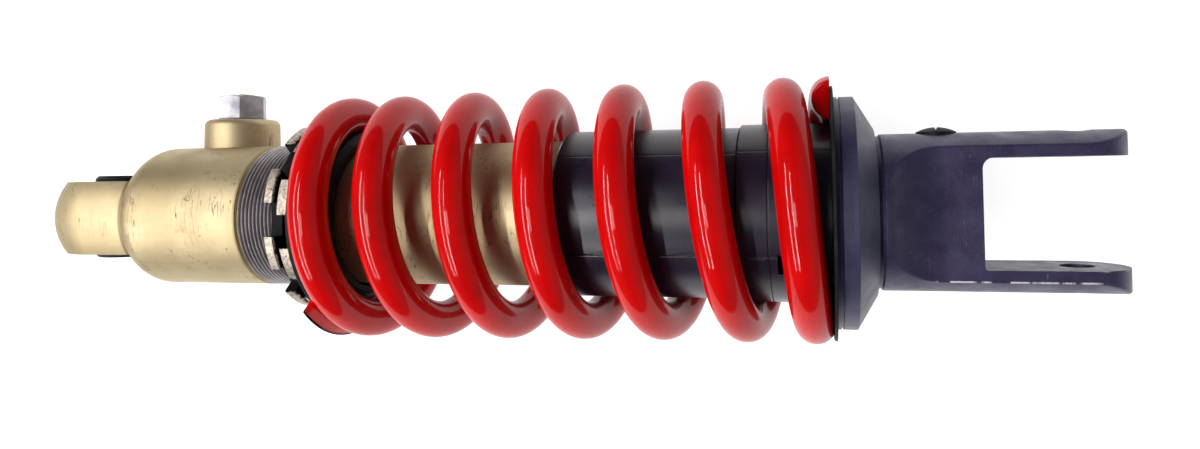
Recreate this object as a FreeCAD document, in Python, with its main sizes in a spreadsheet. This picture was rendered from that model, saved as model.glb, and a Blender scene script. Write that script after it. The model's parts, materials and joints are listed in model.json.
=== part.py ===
"""Rear shock absorber: coil-over damper with a ball-bearing upper eye and a forked lower clevis.

Frame: origin at the centre of the upper eye's bore.  +X runs along the damper towards the clevis,
+Y along the bolt axes (the adjuster boss is on this side) and +Z up.  All sizes are millimetres.
"""
import FreeCAD, Part
import math
import os
import re
import Sketcher
from FreeCAD import Placement, Rotation, Vector

doc = FreeCAD.newDocument("rear_shock_absorber")

# ---------------------------------------------------------------------------------------------
# Driving dimensions: (alias, value, what it is)
# ---------------------------------------------------------------------------------------------
DIMENSIONS = [
    ("eye_radius", 25.0, "round nose of the upper eye, about the bore's centre"),
    ("tang_half", 13.55, "half thickness of the eye's tang, along the bolt"),
    ("tang_root", 20.0, "right end of the tang, inside the body's shoulder"),
    ("tang_root_radius", 24.2, "radius of the tang's round surface at that end"),
    ("tang_room", 5.0, "how far the slab that trims the tang reaches past it"),
    ("wall_x", 16.25, "shoulder face beside the tang"),
    ("body_radius", 26.0, "head and thread crests (M52)"),
    ("corner_x", 23.7, "where the shoulder's round corner meets the body"),
    ("corner_arc", 8.94, "radius of that round corner"),
    ("head_end", 66.5, "joint between the head and the cylinder"),
    ("barrel_radius", 25.2, "cylinder to the right of the thread"),
    ("bore_radius", 23.0, "cylinder bore"),
    ("chamber_x", 22.0, "left end of the bore"),
    ("barrel_end", 194.0, "right end of the cylinder"),
    ("edge_break", 1.0, "chamfer on turned ends"),
    ("bearing_radius", 13.4, "bore of the eye for the bearing race"),
    ("race_half", 5.6, "half length of the bearing race"),
    ("ball_radius", 10.3, "spherical bearing"),
    ("ball_half", 6.8, "half length of the ball"),
    ("ball_gap", 0.05, "running clearance of the ball and of the collars' spigots"),
    ("sleeve_radius", 7.0, "bore of the ball, outside of the collars' spigots"),
    ("bolt_radius", 5.05, "clearance hole for a 10 mm bolt"),
    ("clip_inner", 6.0, "inner face of the eye's circlips, along the bolt"),
    ("clip_width", 1.1, "width of those circlips"),
    ("clip_depth", 2.1, "radial width of those circlips"),
    ("eye_seal_width", 3.6, "width of the eye's dust seals"),
    ("eye_seal_bore", 8.5, "bore of the eye's dust seals"),
    ("collar_radius", 12.1, "flange of the bolt collars"),
    ("collar_inner", 13.45, "inner face of a collar's flange"),
    ("collar_outer", 15.7, "outer face of a collar's flange"),
    ("collar_bevel", 1.1, "bevel of a collar's flange"),
    ("collar_gap", 0.1, "half of the gap between the two spigots"),
    ("boss_x", 43.55, "centre of the adjuster boss"),
    ("boss_z", -9.0, "offset of the boss below the damper's axis"),
    ("boss_base", 8.0, "height where the boss starts, inside the head"),
    ("boss_foot", 14.1, "radius of the boss at its foot"),
    ("boss_top_radius", 13.6, "radius of the boss below its round top edge"),
    ("boss_round", 2.5, "round edge at the boss's top"),
    ("boss_top", 37.05, "height of the boss above the axis"),
    ("hex_flats", 15.9, "valve hexagon across flats"),
    ("hex_top", 46.4, "top of the valve hexagon"),
    ("hex_gap", 0.4, "gap under the hexagon, filled by an O-ring"),
    ("cartridge_radius", 7.0, "threaded part of the valve cartridge"),
    ("cartridge_foot", 23.4, "where that part ends, above the axis"),
    ("cartridge_nose", 5.6, "nose of the valve cartridge"),
    ("nose_depth", 8.5, "how far the nose goes past the axis"),
    ("cartridge_bore", 3.05, "bore of the valve cartridge"),
    ("mouth_radius", 4.6, "wide mouth of that bore"),
    ("mouth_foot", 41.4, "where that mouth starts"),
    ("screw_head", 4.5, "radius of the compression screw's head"),
    ("screw_neck", 41.9, "where that head starts"),
    ("screw_foot", 22.0, "lower end of the compression screw"),
    ("screw_top", 47.0, "top of the compression screw"),
    ("screw_radius", 3.0, "shank of the compression screw"),
    ("driver_slot", 1.2, "width and depth of the screwdriver slots"),
    ("needle_radius", 2.9, "compression needle"),
    ("needle_tip", 1.0, "radius of the needle's tip"),
    ("needle_low", -4.0, "height of the needle's tip"),
    ("needle_cone", 6.0, "length of the needle's cone"),
    ("needle_top", 21.6, "top of the needle"),
    ("divider_x", 37.2, "left face of the divider"),
    ("divider_end", 49.9, "right face of the divider"),
    ("divider_port", 2.4, "radius of the divider's ports"),
    ("divider_reach", 15.0, "distance of those ports from the axis"),
    ("gas_piston_x", 28.6, "left face of the floating piston"),
    ("gas_piston_end", 36.6, "right end of the floating piston"),
    ("gas_floor", 33.6, "floor of the floating piston's dish"),
    ("gas_dish", 16.0, "radius of that dish"),
    ("gas_ring_x", 30.0, "left side of its O-ring"),
    ("gas_ring_width", 2.0, "width of its O-ring"),
    ("gas_ring_depth", 2.2, "depth of the O-ring's groove"),
    ("gas_band_x", 32.8, "left side of its band"),
    ("gas_band_width", 2.8, "width of its band"),
    ("gas_band_depth", 1.4, "depth of the band's groove"),
    ("piston_gap", 0.3, "gap round a piston"),
    ("ring_gap", 0.06, "gap round a piston's ring or band"),
    ("valve_x", 27.0, "centre of the gas valve"),
    ("valve_hole", 3.9, "hole for the gas valve"),
    ("valve_stem", 3.8, "stem of the gas valve"),
    ("valve_stem_length", 6.0, "length of the gas valve's stem"),
    ("valve_bore", 1.2, "bore of the gas valve"),
    ("valve_collar", 5.2, "collar of the gas valve"),
    ("valve_collar_z", 26.1, "how far below the axis that collar starts"),
    ("valve_collar_width", 1.6, "width of that collar"),
    ("valve_cap_radius", 4.9, "cap of the gas valve"),
    ("valve_cap_z", 27.7, "how far below the axis the cap starts"),
    ("valve_cap_length", 5.0, "length of the cap"),
    ("valve_cap_hollow", 3.85, "hollow of the cap"),
    ("valve_cap_depth", 2.2, "depth of that hollow"),
    ("thread_start", 67.0, "first thread groove"),
    ("thread_pitch", 1.5, "M52 x 1.5 thread"),
    ("thread_depth", 0.85, "depth of a thread groove"),
    ("thread_flat", 0.1, "flat bottom of a groove, as a share of the pitch"),
    ("ring_bore", 26.3, "bore of the two castellated rings and of the upper seat"),
    ("ring_radius", 34.0, "castellated rings, over the teeth"),
    ("ring_bevel", 0.7, "bevel of the teeth"),
    ("ring_floor", 28.6, "castellated rings, floor of the notches"),
    ("notch_width", 11.5, "width of a ring's notch"),
    ("lock_ring_turned", 10.0, "how far the lock ring is turned about the axis, in degrees"),
    ("preload_ring_turned", 17.0, "how far the preload ring is turned, in degrees"),
    ("lock_ring_x", 84.0, "left face of the lock ring"),
    ("lock_ring_width", 4.2, "width of the lock ring"),
    ("preload_ring_x", 89.2, "left face of the preload ring"),
    ("preload_ring_width", 5.6, "width of the preload ring"),
    ("upper_seat_x", 95.1, "left face of the upper spring seat"),
    ("upper_seat_radius", 37.5, "flange of the upper spring seat"),
    ("upper_seat_bevel", 0.8, "bevel of that flange"),
    ("spring_start", 97.5, "ground left face of the spring"),
    ("pilot_radius", 30.2, "pilot that centres the spring"),
    ("pilot_bevel", 2.0, "lead-in of that pilot"),
    ("upper_pilot_end", 106.5, "right end of the upper seat's pilot"),
    ("spring_end", 271.0, "ground right face of the spring"),
    ("wire_diameter", 12.6, "spring wire"),
    ("coil_radius", 37.2, "mean radius of the spring"),
    ("coil_pitch", 27.38, "pitch of the open turns"),
    ("coil_top", 120.8, "where the wire first passes its highest Y in an open turn"),
    ("washer_radius", 41.3, "washer under the right end of the spring"),
    ("washer_gap", 0.2, "gap between that washer and the guide tube's end"),
    ("washer_bevel", 0.4, "bevel of that washer"),
    ("seat_x", 272.0, "left face of the lower spring seat"),
    ("seat_radius", 37.6, "lower spring seat"),
    ("seat_rim", 1.3, "rim left of the seat's groove"),
    ("seat_groove", 0.6, "width and depth of that groove"),
    ("seat_bevel_x", 278.3, "where the seat's bevel starts"),
    ("seat_end", 284.5, "right end of the lower spring seat"),
    ("seat_end_radius", 27.2, "right end of the seat's bevel"),
    ("seat_pilot_radius", 27.0, "pilot that holds the guide tube"),
    ("seat_pilot_wall", 2.0, "wall of that pilot"),
    ("seat_pilot_x", 258.0, "left end of that pilot"),
    ("tube_x", 183.0, "left end of the guide tube"),
    ("tube_step_x", 242.0, "step up to the tube's wider right end"),
    ("tube_step_ramp", 0.6, "length of that step's bevel"),
    ("tube_radius", 28.4, "guide tube outside"),
    ("tube_step_radius", 29.3, "guide tube outside, right of the step"),
    ("drain_x", 254.6, "left side of the guide tube's drain slot"),
    ("drain_y", -17.6, "lower side of that slot"),
    ("drain_width", 3.6, "width of that slot"),
    ("drain_length", 6.2, "length of that slot"),
    ("spigot_radius", 22.0, "clevis spigot inside the spring seat"),
    ("spigot_x", 268.0, "left end of the clevis spigot"),
    ("clevis_radius", 25.1, "round stub of the clevis"),
    ("clevis_relief", 0.6, "depth of the relief beside the seat"),
    ("clevis_relief_width", 1.4, "width of that relief"),
    ("scoop_x", 304.5, "where the clevis flats reach their full depth"),
    ("scoop_radius", 20.0, "round run-out of the clevis flats"),
    ("ear_half", 14.6, "half width of the clevis across its flats, and radius of its ends"),
    ("ear_round", 1.2, "rounded outer edges of the ears"),
    ("slot_x", 315.3, "floor of the clevis slot"),
    ("slot_half", 16.9, "half width of the clevis slot"),
    ("slot_corner", 3.4, "upper corner radius of the slot"),
    ("slot_small_corner", 1.0, "lower corner radius of the slot"),
    ("clevis_bore_x", 344.5, "clevis bolt axis"),
    ("rod_radius", 7.0, "damper rod"),
    ("rod_stud_radius", 5.0, "stud that holds the piston"),
    ("rod_shoulder", 163.0, "shoulder between rod and stud"),
    ("rod_start", 138.5, "left end of the stud"),
    ("rod_end", 298.0, "right end of the rod, inside the clevis"),
    ("rod_bore", 3.2, "hollow of the rod"),
    ("piston_x", 148.0, "left face of the piston"),
    ("piston_width", 12.0, "width of the piston"),
    ("piston_land", 3.0, "width of the piston's two lands"),
    ("band_depth", 1.6, "depth of the piston band's groove"),
    ("port_radius", 2.2, "ports of the piston"),
    ("outer_ports", 16.5, "distance of the outer ports from the axis"),
    ("inner_ports", 13.0, "distance of the inner ports from the axis"),
    ("shim_thickness", 0.5, "thickness of one shim"),
    ("plate_radius", 10.0, "plate behind the rebound shims"),
    ("nut_radius", 9.5, "piston nut over its corners"),
    ("nut_width", 6.5, "width of the piston nut"),
    ("bumper_end", 169.6, "right end of the top-out bumper"),
    ("bumper_wall", 4.0, "wall of the top-out bumper"),
    ("seal_head_x", 170.0, "left end of the seal head"),
    ("bush_x", 172.0, "left end of the rod bush"),
    ("bush_end", 181.0, "right end of the rod bush"),
    ("bush_wall", 1.6, "wall of the rod bush"),
    ("head_gap", 0.4, "gap between seal head and rod"),
    ("rod_gap", 0.05, "running clearance round the rod"),
    ("oil_seal_x", 183.0, "left end of the oil seal"),
    ("oil_seal_wall", 4.5, "wall of the oil seal"),
    ("seal_head_end", 189.6, "right end of the seal head"),
    ("head_ring_x", 175.0, "left side of the seal head's O-ring"),
    ("head_ring_end", 178.0, "right side of that O-ring"),
    ("head_ring_depth", 2.4, "depth of that O-ring's groove"),
    ("stopper_x", 189.7, "left face of the stopper ring"),
    ("stopper_width", 1.2, "width of the stopper ring"),
    ("stopper_depth", 2.0, "radial width of the stopper ring"),
    ("end_cap_x", 191.0, "left end of the end cap"),
    ("end_cap_end", 196.0, "right end of the end cap"),
    ("end_cap_wall", 4.0, "gap between rod and end cap, filled by the dust seal"),
    ("bump_stop_x", 249.0, "left end of the bump stop"),
    ("bump_stop_end", 266.0, "right end of the bump stop"),
    ("bump_foot_radius", 17.5, "bump stop where it sits in its cup"),
    ("bump_belly_radius", 18.0, "widest part of the bump stop"),
    ("bump_belly", 4.5, "distance of that part from the right end"),
    ("bump_waist_radius", 15.5, "bottom of the bump stop's groove"),
    ("bump_waist", 6.5, "distance of the groove from the right end"),
    ("bump_ridge_radius", 17.0, "ridge left of the groove"),
    ("bump_ridge", 8.5, "distance of the ridge from the right end"),
    ("bump_nose_radius", 16.5, "foot of the bump stop's nose"),
    ("bump_nose", 12.0, "distance of the nose from the right end"),
    ("bump_tip_radius", 13.5, "shoulder of the nose"),
    ("bump_tip", 13.5, "distance of that shoulder from the right end"),
    ("bump_face_radius", 12.5, "left face of the bump stop"),
    ("cup_end", 268.0, "right face of the bump stop's cup"),
    ("cup_x", 263.0, "left edge of that cup"),
    ("cup_radius", 20.5, "radius of that cup"),
    ("cup_wall", 1.2, "wall of that cup"),
    ("adjuster_x", 304.1, "centre of the rebound adjuster"),
    ("adjuster_radius", 5.5, "shank of the rebound adjuster"),
    ("adjuster_foot", -3.5, "lower end of that shank"),
    ("adjuster_head", 6.2, "radius of the rebound adjuster's head"),
    ("adjuster_neck", 24.0, "where that head starts"),
    ("adjuster_top", 27.0, "top of the rebound adjuster's head"),
    ("adjuster_dome", 1.6, "height of its domed top"),
    ("recess_radius", 6.5, "recess for that head"),
    ("push_rod_radius", 2.4, "rebound push rod"),
    ("push_rod_end", 298.4, "right end of the rebound push rod"),
    ("push_rod_seat", 2.9, "valve land of the rebound push rod"),
    ("push_rod_tip", 2.2, "tip of the rebound push rod"),
    ("push_rod_lead", 4.0, "how far that tip stands out of the rod"),
    ("push_rod_taper", 2.0, "where the tip's taper ends, inside the rod"),
    ("push_rod_inset", 6.0, "start of the valve land inside the rod"),
    ("push_rod_land", 6.0, "length of the valve land"),
    ("push_rod_ramp", 2.0, "length of the taper behind it"),
    ("adjuster_relief", 0.5, "depth of the adjuster's hole below its foot"),
]
sheet = doc.addObject("Spreadsheet::Sheet", "dims")
for row, (alias, value, meaning) in enumerate(DIMENSIONS, start=1):
    sheet.set(f"A{row}", alias)
    sheet.set(f"B{row}", str(value))
    sheet.setAlias(f"B{row}", alias)
    sheet.set(f"C{row}", meaning)
doc.recompute()
ALIASES = {alias for alias, _, _ in DIMENSIONS}


def dim(alias):
    """The value of a driving dimension."""
    return float(sheet.get(alias))


def bound(text):
    """An expression written in plain aliases, pointed at the sheet."""
    return re.sub(r"[A-Za-z_]\w*", lambda m: "dims." + m[0] if m[0] in ALIASES else m[0], text)


# ---------------------------------------------------------------------------------------------
# Small building blocks
# ---------------------------------------------------------------------------------------------
nodes = {}


def node(obj, label):
    """Give an object the node's name and remember it for export."""
    obj.Label = label
    nodes[label] = obj
    return obj


def origin_feature(body, role):
    """One of the body's own origin planes or axes."""
    return next(f for f in body.Origin.OriginFeatures if f.Role == role)


def sketch_on(body, role, name):
    sketch = body.newObject("Sketcher::SketchObject", name)
    sketch.AttachmentSupport = [(origin_feature(body, role), "")]
    sketch.MapMode = "FlatFace"
    return sketch


def value_of(sketch, text):
    return float(sketch.evalExpression(bound(text)))


def pin(sketch, kind, geo, pos, text):
    """Bind one coordinate of a sketch point, measured from the origin, to an expression."""
    ends = (-1, 1, geo, pos)
    if value_of(sketch, text) < 0:
        ends = (geo, pos, -1, 1)
        text = f"-({text})"
    index = sketch.addConstraint(Sketcher.Constraint(kind, *ends, abs(value_of(sketch, text))))
    sketch.setExpression(f"Constraints[{index}]", bound(text))


def outline(sketch, points):
    """A closed outline.  Each point is (h, v) or (h, v, (centre_h, centre_v, way)).

    The third entry makes the side that leaves the point an arc, run anticlockwise (way 1) or
    clockwise (way -1) about its centre.
    """
    spots = [Vector(value_of(sketch, p[0]), value_of(sketch, p[1]), 0) for p in points]
    sides = []
    for i, point in enumerate(points):
        a = spots[i]
        b = spots[(i + 1) % len(spots)]
        if len(point) == 2:
            sides.append((sketch.addGeometry(Part.LineSegment(a, b)), 1, 2))
            continue
        centre_h, centre_v, way = point[2]
        centre = Vector(value_of(sketch, centre_h), value_of(sketch, centre_v), 0)
        circle = Part.Circle(centre, Vector(0, 0, 1), a.distanceToPoint(centre))
        first, last = (a, b) if way > 0 else (b, a)
        arc = Part.ArcOfCircle(circle, circle.parameter(first), circle.parameter(last))
        geo = sketch.addGeometry(arc)
        sides.append((geo, 1, 2) if way > 0 else (geo, 2, 1))
        if abs(b.y - a.y) > abs(b.x - a.x):
            pin(sketch, "DistanceX", geo, 3, centre_h)
        else:
            pin(sketch, "DistanceY", geo, 3, centre_v)
    for i, (geo, start, end) in enumerate(sides):
        following, next_start, _ = sides[(i + 1) % len(sides)]
        sketch.addConstraint(Sketcher.Constraint("Coincident", geo, end, following, next_start))
        pin(sketch, "DistanceX", geo, start, points[i][0])
        pin(sketch, "DistanceY", geo, start, points[i][1])


def turned(label, points, axis="X", is_node=True):
    """A turned piece: a closed outline of (along, radius) revolved about the X or Y axis."""
    body = doc.addObject("PartDesign::Body", label)
    sketch = sketch_on(body, "XY_Plane", label + "_outline")
    if axis == "Y":
        points = [(p[1], p[0]) + tuple((q[1], q[0], -q[2]) for q in p[2:]) for p in points]
    outline(sketch, points)
    sketch.Visibility = False
    feature = body.newObject("PartDesign::Revolution", label + "_turn")
    feature.Profile = sketch
    feature.ReferenceAxis = (sketch, ["H_Axis" if axis == "X" else "V_Axis"])
    feature.Angle = 360
    body.Tip = feature
    doc.recompute()
    return node(body, label) if is_node else body


def ring_points(start, end, inner, outer):
    """Square outline of a plain ring."""
    return [(start, inner), (end, inner), (end, outer), (start, outer)]


def drum(name, axis, radius, start, length, centre=("0", "0")):
    """A cylinder along an axis; centre is the pair of the other two coordinates."""
    obj = doc.addObject("Part::Cylinder", name)
    obj.setExpression("Radius", bound(radius))
    obj.setExpression("Height", bound(length))
    place(obj, axis, start, centre)
    return obj


def place(obj, axis, start, centre=("0", "0")):
    """Stand an object that was made along +Z on the given axis, from start."""
    turns = {
        "X": Rotation(Vector(0, 1, 0), 90),
        "Y": Rotation(Vector(1, 0, 0), -90),
        "Z": Rotation(),
        "-Z": Rotation(Vector(1, 0, 0), 180),
    }
    obj.Placement = Placement(Vector(), turns[axis])
    order = {"X": ("x", "y", "z"), "Y": ("y", "x", "z"), "Z": ("z", "x", "y")}[axis[-1]]
    for letter, text in zip(order, (start,) + tuple(centre)):
        obj.setExpression("Placement.Base." + letter, bound(text))


def block(name, low, size):
    """A box from its low corner and its size, both as expressions."""
    obj = doc.addObject("Part::Box", name)
    for prop, text in zip(("Length", "Width", "Height"), size):
        obj.setExpression(prop, bound(text))
    for letter, text in zip("xyz", low):
        obj.setExpression("Placement.Base." + letter, bound(text))
    return obj


def hexagon(name, flats, start, length, centre):
    """A hexagonal prism along +Y."""
    obj = doc.addObject("Part::Prism", name)
    obj.Polygon = 6
    obj.setExpression("Circumradius", bound(f"({flats}) / sqrt(3)"))
    obj.setExpression("Height", bound(length))
    place(obj, "Y", start, centre)
    return obj


def fused(name, parts):
    obj = doc.addObject("Part::MultiFuse", name)
    obj.Shapes = parts
    return obj


def cut(name, base, tools):
    """Base less every tool."""
    obj = doc.addObject("Part::Cut", name)
    obj.Base = base
    obj.Tool = tools[0] if len(tools) == 1 else fused(name + "_tools", tools)
    return obj


def common(name, a, b):
    obj = doc.addObject("Part::Common", name)
    obj.Base = a
    obj.Tool = b
    return obj


def pair(label, piece):
    """A piece and its mirror image across the XZ plane, as two solids in one node."""
    mirror = doc.addObject("Part::Mirroring", label + "_mirror")
    mirror.Source = piece
    mirror.Base = Vector(0, 0, 0)
    mirror.Normal = Vector(0, 1, 0)
    both = doc.addObject("Part::Compound", label)
    both.Links = [piece, mirror]
    return node(both, label)


# ---------------------------------------------------------------------------------------------
# Damper body: head with the eye and the adjuster boss, and the threaded cylinder
# ---------------------------------------------------------------------------------------------
def rounded(label, base, radius, chosen):
    """Base with a round on every edge that chosen accepts."""
    doc.recompute()
    obj = doc.addObject("Part::Fillet", label)
    obj.Base = base
    edges = [i for i, edge in enumerate(base.Shape.Edges, start=1) if chosen(edge)]
    obj.Edges = [(i, dim(radius), dim(radius)) for i in edges]
    return obj


BOSS = ("boss_x", "boss_z")  # the axis of the boss and of the compression valve in it


def stand_at_boss(obj):
    """Move a piece that was turned about Y onto the boss's axis."""
    obj.setExpression("Placement.Base.x", bound(BOSS[0]))
    obj.setExpression("Placement.Base.z", bound(BOSS[1]))


def damper_body():
    wall_radius = "body_radius - corner_arc + sqrt(corner_arc ^ 2 - (corner_x - wall_x) ^ 2)"
    head = turned(
        "head_blank",
        [("wall_x", "0"),
         ("wall_x", wall_radius, ("corner_x", "body_radius - corner_arc", -1)),
         ("corner_x", "body_radius"), ("head_end", "body_radius"), ("head_end", "0")],
        is_node=False,
    )
    nose = turned(
        "nose",
        [("-eye_radius", "0", ("0", "0", -1)), ("0", "eye_radius"),
         ("tang_root", "tang_root_radius"), ("tang_root", "0")],
        is_node=False,
    )
    slab = block(
        "tang_slab",
        ("-eye_radius - tang_room", "-tang_half", "-eye_radius - tang_room"),
        ("eye_radius + tang_room + tang_root", "2 * tang_half", "2 * (eye_radius + tang_room)"),
    )
    tang = common("tang", nose, slab)
    boss = turned(
        "boss",
        [("boss_base", "0"), ("boss_base", "boss_foot"),
         ("boss_top - boss_round", "boss_top_radius",
          ("boss_top - boss_round", "boss_top_radius - boss_round", -1)),
         ("boss_top", "boss_top_radius - boss_round"), ("boss_top", "0")],
        axis="Y",
        is_node=False,
    )
    stand_at_boss(boss)
    whole = fused("damper_blank", [head, tang, boss])
    hollows = [
        drum("head_bore", "X", "bore_radius", "chamber_x", "head_end - chamber_x + edge_break"),
        drum("eye_bore", "Y", "bearing_radius", "-eye_radius", "2 * eye_radius"),
        drum("cartridge_hole", "Y", "cartridge_radius", "0", "2 * boss_top", BOSS),
        drum("valve_hole_drill", "-Z", "valve_hole", "-chamber_x", "chamber_x", ("valve_x", "0")),
    ]
    node(cut("damper_body_cut", whole, hollows), "damper_body")


def damper_tube():
    """The cylinder: threaded at its left end, and screwed into the head."""
    outside = [("head_end", "body_radius")]
    count = int((dim("upper_seat_x") - dim("thread_start")) / dim("thread_pitch"))
    for i in range(count):
        crest = f"thread_start + {i} * thread_pitch"
        outside.append((crest, "body_radius"))
        for share in ("(0.5 - thread_flat / 2)", "(0.5 + thread_flat / 2)"):
            outside.append((f"{crest} + thread_pitch * {share}", "body_radius - thread_depth"))
    last = f"thread_start + {count} * thread_pitch"
    turned(
        "damper_tube",
        [("head_end", "bore_radius")] + outside
        + [(last, "body_radius"), (f"{last} + thread_pitch", "barrel_radius"),
           ("barrel_end - edge_break", "barrel_radius"),
           ("barrel_end", "barrel_radius - edge_break"), ("barrel_end", "bore_radius")],
    )


def eye_bearing():
    """Race, ball, seals, circlips and bolt collars of the upper eye, all about the Y axis."""
    race_blank = drum("race_blank", "Y", "bearing_radius", "-race_half", "2 * race_half")
    race_ball = doc.addObject("Part::Sphere", "race_ball")
    race_ball.setExpression("Radius", bound("ball_radius + ball_gap"))
    node(cut("race_cut", race_blank, [race_ball]), "eye_bearing_race")
    ball = doc.addObject("Part::Sphere", "ball_blank")
    ball.setExpression("Radius", bound("ball_radius"))
    trim = drum("ball_trim", "Y", "ball_radius + edge_break", "-ball_half", "2 * ball_half")
    ball_bore = drum("ball_bore", "Y", "sleeve_radius + ball_gap", "-ball_radius", "2 * ball_radius")
    node(cut("ball_cut", common("ball_trimmed", ball, trim), [ball_bore]), "eye_ball")
    clip = turned("eye_circlip",
                  ring_points("clip_inner", "clip_inner + clip_width",
                              "bearing_radius - clip_depth", "bearing_radius"),
                  axis="Y", is_node=False)
    pair("eye_circlips", clip)
    seal = turned("eye_seal",
                  ring_points("clip_inner + clip_width",
                              "clip_inner + clip_width + eye_seal_width", "eye_seal_bore",
                              "bearing_radius"),
                  axis="Y", is_node=False)
    pair("eye_seals", seal)
    front = turned("eye_collar_upper",
                   [("collar_gap", "bolt_radius"), ("collar_outer", "bolt_radius"),
                    ("collar_outer", "collar_radius - collar_bevel"),
                    ("collar_outer - collar_bevel", "collar_radius"),
                    ("collar_inner", "collar_radius"), ("collar_inner", "sleeve_radius"),
                    ("collar_gap", "sleeve_radius")], axis="Y")
    mirror = doc.addObject("Part::Mirroring", "eye_collar_lower_mirror")
    mirror.Source = front
    mirror.Base = Vector(0, 0, 0)
    mirror.Normal = Vector(0, 1, 0)
    node(mirror, "eye_collar_lower")


# ---------------------------------------------------------------------------------------------
# Head internals: gas side, divider and compression valve
# ---------------------------------------------------------------------------------------------
def gas_side():
    side = "bore_radius - piston_gap"
    ring_end = "gas_ring_x + gas_ring_width"
    band_end = "gas_band_x + gas_band_width"
    turned("gas_piston",
           [("gas_piston_x", "0"), ("gas_piston_x", side), ("gas_ring_x", side),
            ("gas_ring_x", "bore_radius - gas_ring_depth"),
            (ring_end, "bore_radius - gas_ring_depth"), (ring_end, side),
            ("gas_band_x", side), ("gas_band_x", "bore_radius - gas_band_depth"),
            (band_end, "bore_radius - gas_band_depth"), (band_end, side),
            ("gas_piston_end", side), ("gas_piston_end", "gas_dish + edge_break"),
            ("gas_floor", "gas_dish"), ("gas_floor", "0")])
    turned("gas_piston_o_ring", ring_points("gas_ring_x", ring_end, "bore_radius - gas_ring_depth",
                                            "bore_radius - ring_gap"))
    turned("gas_piston_band", ring_points("gas_band_x", band_end, "bore_radius - gas_band_depth",
                                          "bore_radius - ring_gap"))
    spot = ("valve_x", "0")
    stem = drum("stem", "-Z", "valve_stem", "-bore_radius - piston_gap", "valve_stem_length", spot)
    collar = drum("stem_collar", "-Z", "valve_collar", "-valve_collar_z", "valve_collar_width", spot)
    stem_bore = drum("stem_bore", "-Z", "valve_bore", "-bore_radius", "2 * valve_stem_length", spot)
    node(cut("valve_cut", fused("valve_blank", [stem, collar]), [stem_bore]), "gas_valve")
    cap = drum("cap_outer", "-Z", "valve_cap_radius", "-valve_cap_z", "valve_cap_length", spot)
    hollow = drum("cap_inner", "-Z", "valve_cap_hollow", "-valve_cap_z", "valve_cap_depth", spot)
    node(cut("valve_cap_cut", cap, [hollow]), "gas_valve_cap")


def spread(name, count, radius, reach, start, length):
    """Drills along X, evenly spread round the axis at one distance from it."""
    drills = []
    for i in range(count):
        angle = 2 * math.pi * i / count
        drill = drum(f"{name}_{i}", "X", radius, start, length)
        drill.setExpression("Placement.Base.y", bound(f"{reach} * {math.sin(angle):.6f}"))
        drill.setExpression("Placement.Base.z", bound(f"{reach} * {math.cos(angle):.6f}"))
        drills.append(drill)
    return drills


def compression_valve():
    disc = turned("divider_disc", ring_points("divider_x", "divider_end", "0", "bore_radius"),
                  is_node=False)
    socket = drum("divider_socket", "Y", "cartridge_nose", "-nose_depth - ball_gap",
                  "nose_depth + boss_top", BOSS)
    ports = spread("divider_port", 6, "divider_port", "divider_reach", "divider_x - edge_break",
                   "divider_end - divider_x + 2 * edge_break")
    node(cut("divider_cut", disc, [socket] + ports), "divider")
    foot = "boss_top + hex_gap"
    hexa = hexagon("cap_hex", "hex_flats", foot, f"hex_top - ({foot})", BOSS)
    bevel = turned("cap_bevel",
                   [("boss_base", "0"), ("boss_base", "hex_flats * 0.6"),
                    ("hex_top - edge_break", "hex_flats * 0.6"), ("hex_top", "hex_flats * 0.5"),
                    ("hex_top", "0")], axis="Y", is_node=False)
    stand_at_boss(bevel)
    shank = drum("cap_shank", "Y", "cartridge_radius", "cartridge_foot",
                 f"{foot} - cartridge_foot", BOSS)
    tip = drum("cap_tip", "Y", "cartridge_nose", "-nose_depth", "nose_depth + cartridge_foot", BOSS)
    bore = drum("cap_bore", "Y", "cartridge_bore", "-nose_depth - edge_break",
                "nose_depth + hex_top + 2 * edge_break", BOSS)
    mouth = drum("cap_mouth", "Y", "mouth_radius", "mouth_foot", "hex_top - mouth_foot + edge_break",
                 BOSS)
    blank = fused("cap_blank", [common("cap_head", hexa, bevel), shank, tip])
    node(cut("cap_cut", blank, [bore, mouth]), "compression_valve_cap")
    ring = turned("valve_cap_o_ring", ring_points("boss_top", foot, "cartridge_radius",
                                                  "cartridge_radius + hex_gap"), axis="Y")
    stand_at_boss(ring)


def driver_slot(name, centre, top, half_length):
    """The cutter of a screwdriver slot across a screw that stands along Y."""
    x, z = centre
    return block(name,
                 (f"{x} - driver_slot / 2", f"{top} - driver_slot", f"{z} - {half_length}"),
                 ("driver_slot", "2 * driver_slot", f"2 * {half_length}"))


def compression_screw():
    head = drum("comp_head", "Y", "screw_head", "screw_neck", "screw_top - screw_neck", BOSS)
    shank = drum("comp_shank", "Y", "screw_radius", "screw_foot", "screw_neck - screw_foot", BOSS)
    slot = driver_slot("comp_slot", BOSS, "screw_top", "mouth_radius")
    node(cut("comp_cut", fused("comp_blank", [head, shank]), [slot]), "compression_adjuster")
    shoulder = "needle_low + needle_cone"
    stem = drum("needle_stem", "Y", "needle_radius", shoulder, f"needle_top - ({shoulder})", BOSS)
    cone = doc.addObject("Part::Cone", "needle_tip_cone")
    cone.setExpression("Radius1", bound("needle_tip"))
    cone.setExpression("Radius2", bound("needle_radius"))
    cone.setExpression("Height", bound("needle_cone"))
    place(cone, "Y", "needle_low", BOSS)
    node(fused("needle_fuse", [stem, cone]), "compression_needle")


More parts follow.
